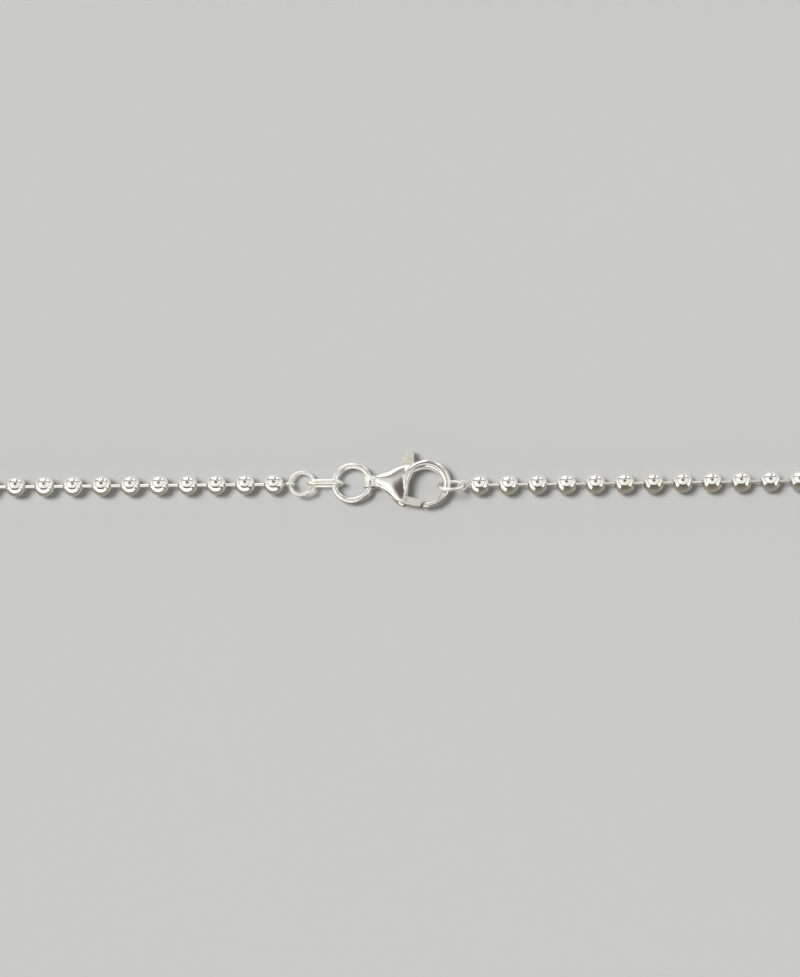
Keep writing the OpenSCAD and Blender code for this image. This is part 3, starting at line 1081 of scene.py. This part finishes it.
WALL = (1.72, 1.71, 1.58, 1)
CEILING = (1.1, 1.1, 1.065, 1)
CEILING_SHADE = (0.78, 0.76, 0.71, 1)
CEILING_GLOW = (1.5, 1.5, 1.42, 1)
CEILING_EDGE = (0.66, 0.65, 0.62, 1)
DARK_EDGE = (0.11, 0.1, 0.08, 1)
WINDOW = (2.7, 2.7, 2.6, 1)
WINDOW_FRAME = (0.3, 0.29, 0.27, 1)
WINDOW_BAR = (0.38, 0.37, 0.35, 1)
LAMP_HOLE = (0.13, 0.1, 0.08, 1)
# Round places in the room: azimuth from +X towards +Y, elevation, half angle, soft edge. Degrees.
CEILING_AT = (90, 61, 61, 3)
CEILING_EDGE_AT = (90, 61, 72, 4)
DARK_EDGE_REACH = (90, 61, 80, 4)
DARK_SIDE_AT = (-86, 48, 41, 8)
CEILING_GLOW_AT = (171, 60, 19, 11)
CEILING_SHADE_AT = (84, 69, 19, 8)
WINDOW_FRAME_AT = (90, 0, 50, 5)
WINDOW_AT = (90, 0, 37, 4)
WINDOW_BAR_REACH = (90, 0, 46, 5)
LOWER_BAR_AT = (77, 8, 9, 6)
UPPER_BAR_AT = (77, 26, 10, 6)
LAMP_HOLE_AT = (82, 69, 12.5, 4)
ROOM_STRENGTH_IN_METAL = 0.8
ROOM_STRENGTH_FOR_DIFFUSE = 0.4

SUN_TOWARDS = (-0.5, 0.08, 1.0)
SUN_ANGLE = math.radians(25)
SUN_STRENGTH = 3.3

# Distances in metres. The camera aims a little in front of the chain's line.
CAMERA_ELEVATION = math.radians(76)
CAMERA_DISTANCE = 0.383
CAMERA_SIDE = 0.016
CAMERA_ROLL = math.radians(0.44)
CAMERA_AIM_FRONT = 0.0003
CAMERA_AIM = Vector((0, FRONT_Y * METRES - CAMERA_AIM_FRONT, 0))
CAMERA_FOCAL_PIXELS = 2629.8
IMAGE_HEIGHT = 977
SENSOR = 36.0


def add_floor():
    """Plain pale floor.

    Metal sees it darker in front and lighter towards the window than the camera does, so that
    the silver keeps its depth.
    """
    size = FLOOR_HALF
    corners = [(-size, -size, 0), (size, -size, 0), (size, size, 0), (-size, size, 0)]
    mesh = make_mesh("floor", corners, [(0, 1, 2, 3)])
    material, tree, shader = new_material("pale_floor")
    shader.inputs["Roughness"].default_value = FLOOR_ROUGHNESS
    shader.inputs["Specular IOR Level"].default_value = 0.0
    depth = put(tree, "ShaderNodeSeparateXYZ", {0: object_place(tree)}).outputs["Y"]
    start = (FRONT_Y - FLOOR_CHANGE_START) * METRES
    far = ranged(tree, depth, start, (FRONT_Y - FLOOR_CHANGE_END) * METRES)
    in_metal = mixed(tree, far, NEAR_FLOOR_IN_METAL, FAR_FLOOR_IN_METAL)
    glossy = put(tree, "ShaderNodeLightPath").outputs["Is Glossy Ray"]
    tree.links.new(mixed(tree, glossy, FLOOR_SEEN, in_metal), shader.inputs["Base Color"])
    mesh.materials.append(material)
    linked(mesh)


def add_shade_card():
    """Brown card in front of the chain's right half, seen in reflections alone."""
    reach, left, right, height = (v * METRES for v in CARD)
    y = FRONT_Y * METRES - reach
    corners = [(left, y, 0), (right, y, 0), (right, y, height), (left, y, height)]
    mesh = make_mesh("shade_card", corners, [(0, 1, 2, 3)])
    material, tree, shader = new_material("brown_card")
    tree.nodes.remove(shader)
    rise = put(tree, "ShaderNodeSeparateXYZ", {0: object_place(tree)}).outputs["Z"]
    colour = mixed(tree, ranged(tree, rise, 0.0, height), CARD_FOOT, CARD_TOP)
    glow = put(tree, "ShaderNodeEmission", {"Color": colour}).outputs[0]
    tree.links.new(glow, tree.nodes["Material Output"].inputs["Surface"])
    mesh.materials.append(material)
    card = linked(mesh)
    card.visible_camera = False
    card.visible_diffuse = False
    card.visible_shadow = False


def make_room():
    """Soft room round the necklace: light ceiling, bright walls, a window and a shaded side."""
    world = bpy.data.worlds.new("room")
    bpy.context.scene.world = world
    world.use_nodes = True
    tree = world.node_tree
    background = tree.nodes["Background"]
    direction = put(tree, "ShaderNodeTexCoord").outputs["Generated"]

    def within(azimuth, elevation, angle, edge):
        """1 within an angle of a direction, 0 beyond it."""
        a, e = math.radians(azimuth), math.radians(elevation)
        axis = (math.cos(a) * math.cos(e), math.sin(a) * math.cos(e), math.sin(e))
        cosine = put(
            tree, "ShaderNodeVectorMath", {0: direction, 1: axis}, operation="DOT_PRODUCT"
        ).outputs["Value"]
        low = math.cos(math.radians(angle + edge))
        high = math.cos(math.radians(max(angle - edge, 0)))
        return ranged(tree, cosine, low, high, interpolation_type="SMOOTHSTEP")

    def both(a, b):
        return math_node(tree, "MULTIPLY", a, b)

    bars = math_node(tree, "MAXIMUM", within(*LOWER_BAR_AT), within(*UPPER_BAR_AT))
    look = WALL
    for share, colour in (
        (within(*CEILING_EDGE_AT), CEILING_EDGE),
        (both(within(*DARK_EDGE_REACH), within(*DARK_SIDE_AT)), DARK_EDGE),
        (within(*CEILING_AT), CEILING),
        (within(*CEILING_GLOW_AT), CEILING_GLOW),
        (within(*CEILING_SHADE_AT), CEILING_SHADE),
        (within(*WINDOW_FRAME_AT), WINDOW_FRAME),
        (within(*WINDOW_AT), WINDOW),
        (both(within(*WINDOW_BAR_REACH), bars), WINDOW_BAR),
        (within(*LAMP_HOLE_AT), LAMP_HOLE),
    ):
        look = mixed(tree, share, look, colour)
    tree.links.new(look, background.inputs["Color"])
    diffuse = put(tree, "ShaderNodeLightPath").outputs["Is Diffuse Ray"]
    strength = ranged(tree, diffuse, 0.0, 1.0, ROOM_STRENGTH_IN_METAL, ROOM_STRENGTH_FOR_DIFFUSE)
    tree.links.new(strength, background.inputs["Strength"])


def add_sun():
    """Soft light from the left. Metal shows the room's window instead of it."""
    light = bpy.data.lights.new("window_light", "SUN")
    light.angle = SUN_ANGLE
    light.energy = SUN_STRENGTH
    obj = bpy.data.objects.new("window_light", light)
    obj.rotation_euler = Vector(SUN_TOWARDS).to_track_quat("Z", "Y").to_euler()
    obj.visible_glossy = False
    bpy.context.scene.collection.objects.link(obj)


def add_camera():
    """Camera at the photograph's angle, a little to the right of the clasp."""
    data = bpy.data.cameras.new("camera")
    data.sensor_width = SENSOR
    data.lens = CAMERA_FOCAL_PIXELS * SENSOR / IMAGE_HEIGHT
    data.clip_start = 0.01
    camera = bpy.data.objects.new("camera", data)
    reach = Vector((0, -math.cos(CAMERA_ELEVATION), math.sin(CAMERA_ELEVATION))) * CAMERA_DISTANCE
    reach.x = CAMERA_SIDE
    back = reach.normalized()
    right = (Vector((1, 0, 0)) - back * back.x).normalized()
    up = back.cross(right)
    rolled_right = right * math.cos(CAMERA_ROLL) - up * math.sin(CAMERA_ROLL)
    rolled_up = right * math.sin(CAMERA_ROLL) + up * math.cos(CAMERA_ROLL)
    turn = Matrix((rolled_right, rolled_up, back)).transposed().to_4x4()
    camera.matrix_world = Matrix.Translation(CAMERA_AIM + reach) @ turn
    bpy.context.scene.collection.objects.link(camera)
    bpy.context.scene.camera = camera


add_camera()
add_beads()
add_bars()
add_eyes()
add_rings()
add_link()
add_clasp_body()
add_clasp_lever()
dress_pin()
add_floor()
add_shade_card()
make_room()
add_sun()
bpy.context.scene.view_settings.view_transform = "Standard"
